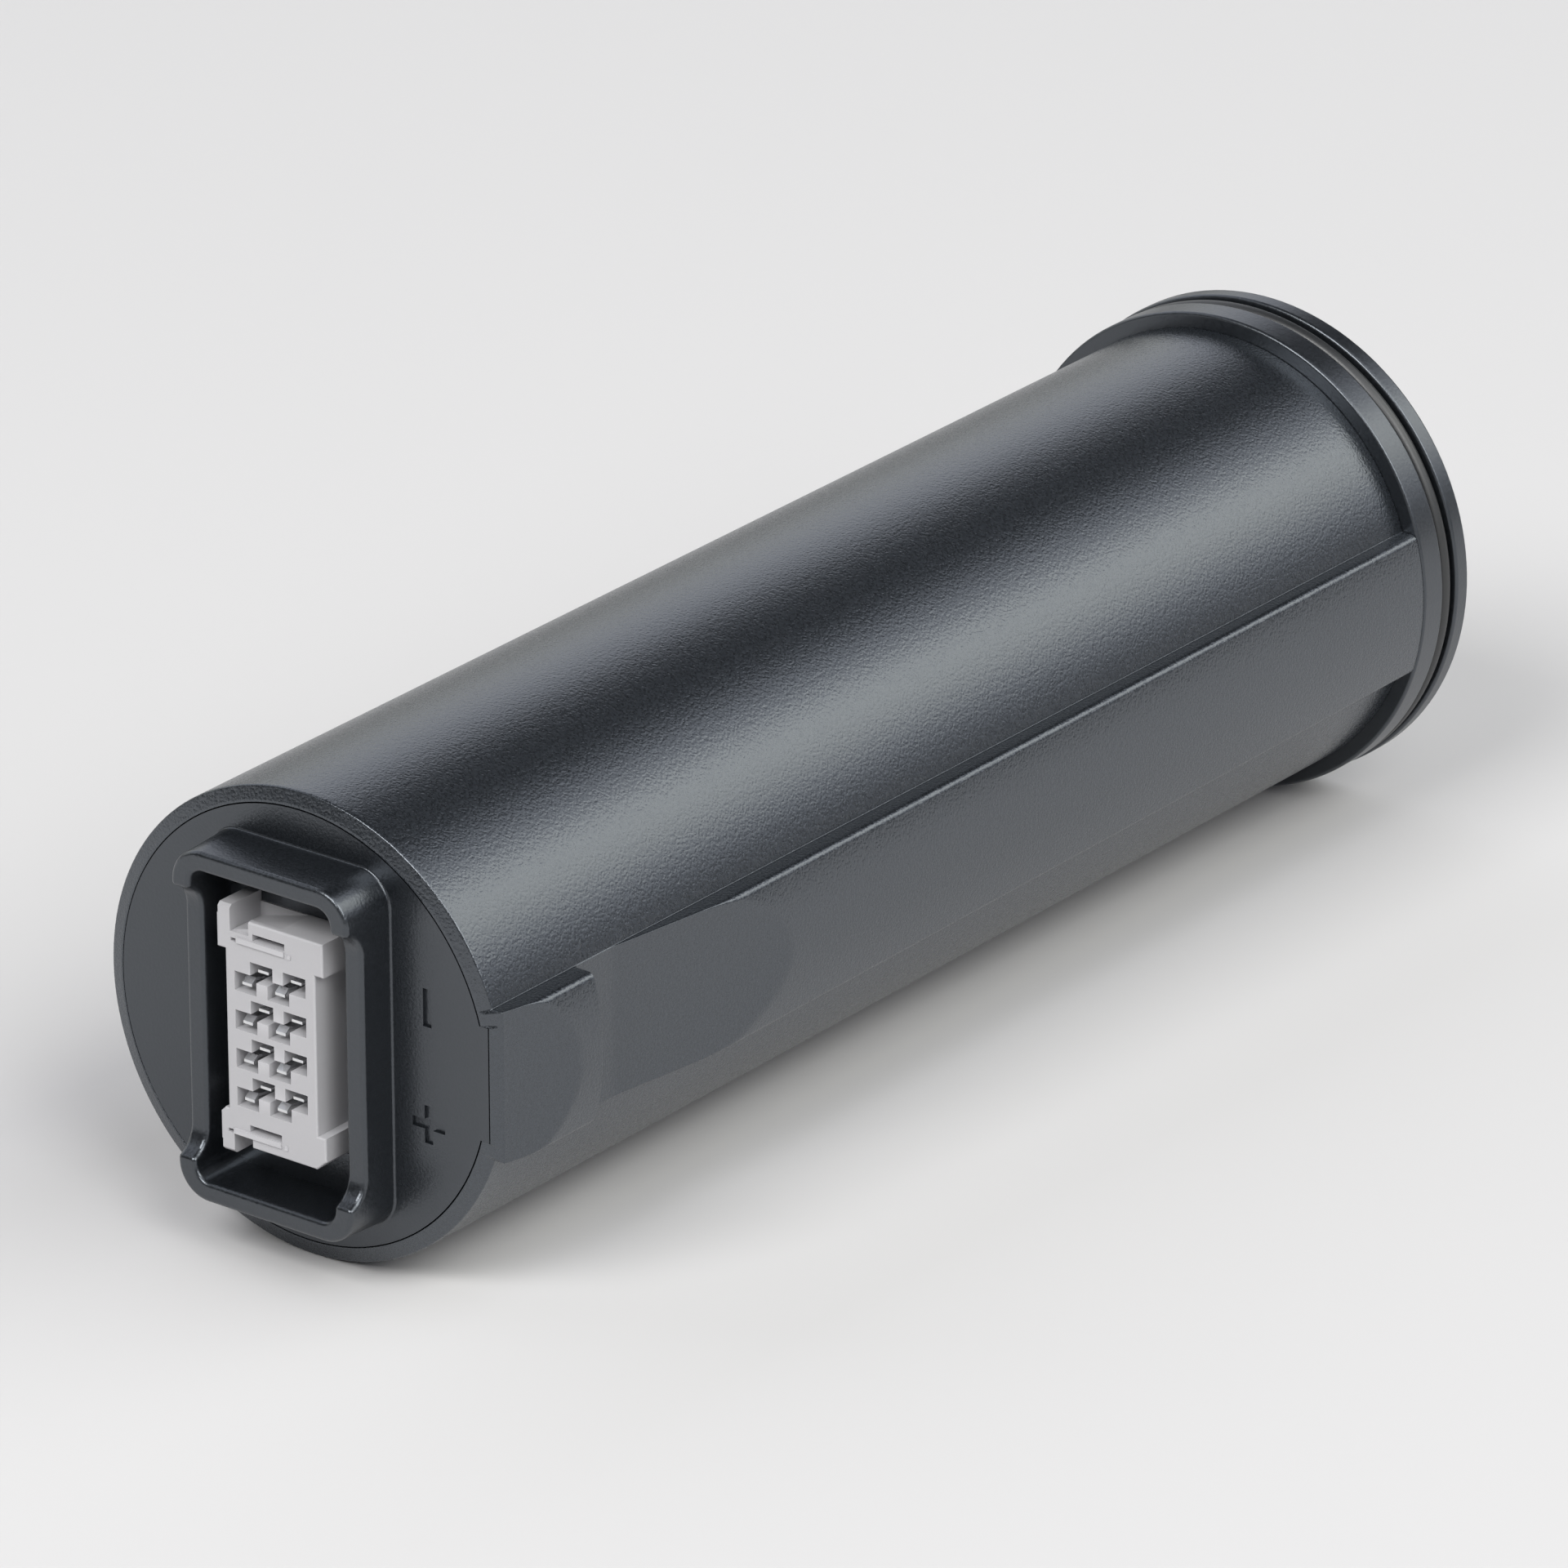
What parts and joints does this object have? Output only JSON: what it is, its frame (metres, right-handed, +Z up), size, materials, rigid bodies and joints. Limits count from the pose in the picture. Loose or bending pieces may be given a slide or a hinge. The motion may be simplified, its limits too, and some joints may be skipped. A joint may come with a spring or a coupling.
{
  "type": "cylindrical battery pack",
  "caption": "Cylindrical slide-in battery pack with a shrouded blade-contact connector, a side key rail with a latch notch, and a sealing flange at the rear.",
  "frame": {"origin": "on the pack's axis, in the plane of the front face around the plug shroud", "axes": "+Y along the axis to the rear flange, +X towards the key rail, +Z up, along the connector's longer side"},
  "size_m": [0.0774, 0.2421, 0.0774],
  "materials": {
    "housing_plastic": "fine spark-eroded grain, anthracite",
    "cover_plastic": "satin, very fine grain, anthracite",
    "flange_plastic": "satin, fine grain, anthracite",
    "seal_rubber": "smooth black rubber",
    "connector_plastic": "smooth light grey",
    "contact_tin": "tin plated",
    "board_laminate": "solder-resist over glass laminate",
    "chip_resin": "moulded epoxy",
    "fuse_ceramic": "glazed ceramic",
    "screw_steel": "blackened steel",
    "holder_plastic": "fine grain, black",
    "cell_can": "plated steel can in a thin sleeve",
    "nickel_strip": "rolled nickel",
    "insulator_fibre": "pressed fibre",
    "lead_insulation": "smooth silicone",
    "foam": "closed-cell foam"
  },
  "bodies": {
    "root": {"board_screws": "screw_steel", "bus_plate_ab": "nickel_strip", "bus_plate_bc": "nickel_strip", "bus_plate_front": "nickel_strip", "bus_plate_rear": "nickel_strip", "cell_a1": "cell_can", "cell_a2": "cell_can", "cell_a3": "cell_can", "cell_a4": "cell_can", "cell_a5": "cell_can", "cell_a6": "cell_can", "cell_a7": "cell_can", "cell_b1": "cell_can", "cell_b2": "cell_can", "cell_b3": "cell_can", "cell_b4": "cell_can", "cell_b5": "cell_can", "cell_b6": "cell_can", "cell_b7": "cell_can", "cell_c1": "cell_can", "cell_c2": "cell_can", "cell_c3": "cell_can", "cell_c4": "cell_can", "cell_c5": "cell_can", "cell_c6": "cell_can", "cell_c7": "cell_can", "cell_holder_a_front": "holder_plastic", "cell_holder_a_rear": "holder_plastic", "cell_holder_b_front": "holder_plastic", "cell_holder_b_rear": "holder_plastic", "cell_holder_c_front": "holder_plastic", "cell_holder_c_rear": "holder_plastic", "connector_housing": "connector_plastic", "contact_1": "contact_tin", "contact_2": "contact_tin", "contact_3": "contact_tin", "contact_4": "contact_tin", "contact_5": "contact_tin", "contact_6": "contact_tin", "contact_7": "contact_tin", "contact_8": "contact_tin", "control_chip": "chip_resin", "end_cap": "flange_plastic", "end_cap_screws": "screw_steel", "foam_pad": "foam", "front_cover": "cover_plastic", "fuse": "fuse_ceramic", "housing_tube": "housing_plastic", "insulator": "insulator_fibre", "power_switches": "chip_resin", "protection_board": "board_laminate", "rear_collar": "flange_plastic", "return_strap": "nickel_strip", "seal_ring": "seal_rubber", "sense_lead_ab": "lead_insulation", "sense_lead_bc": "lead_insulation", "supply_strap": "nickel_strip", "thermistor": "lead_insulation"}
  },
  "joints": []
}
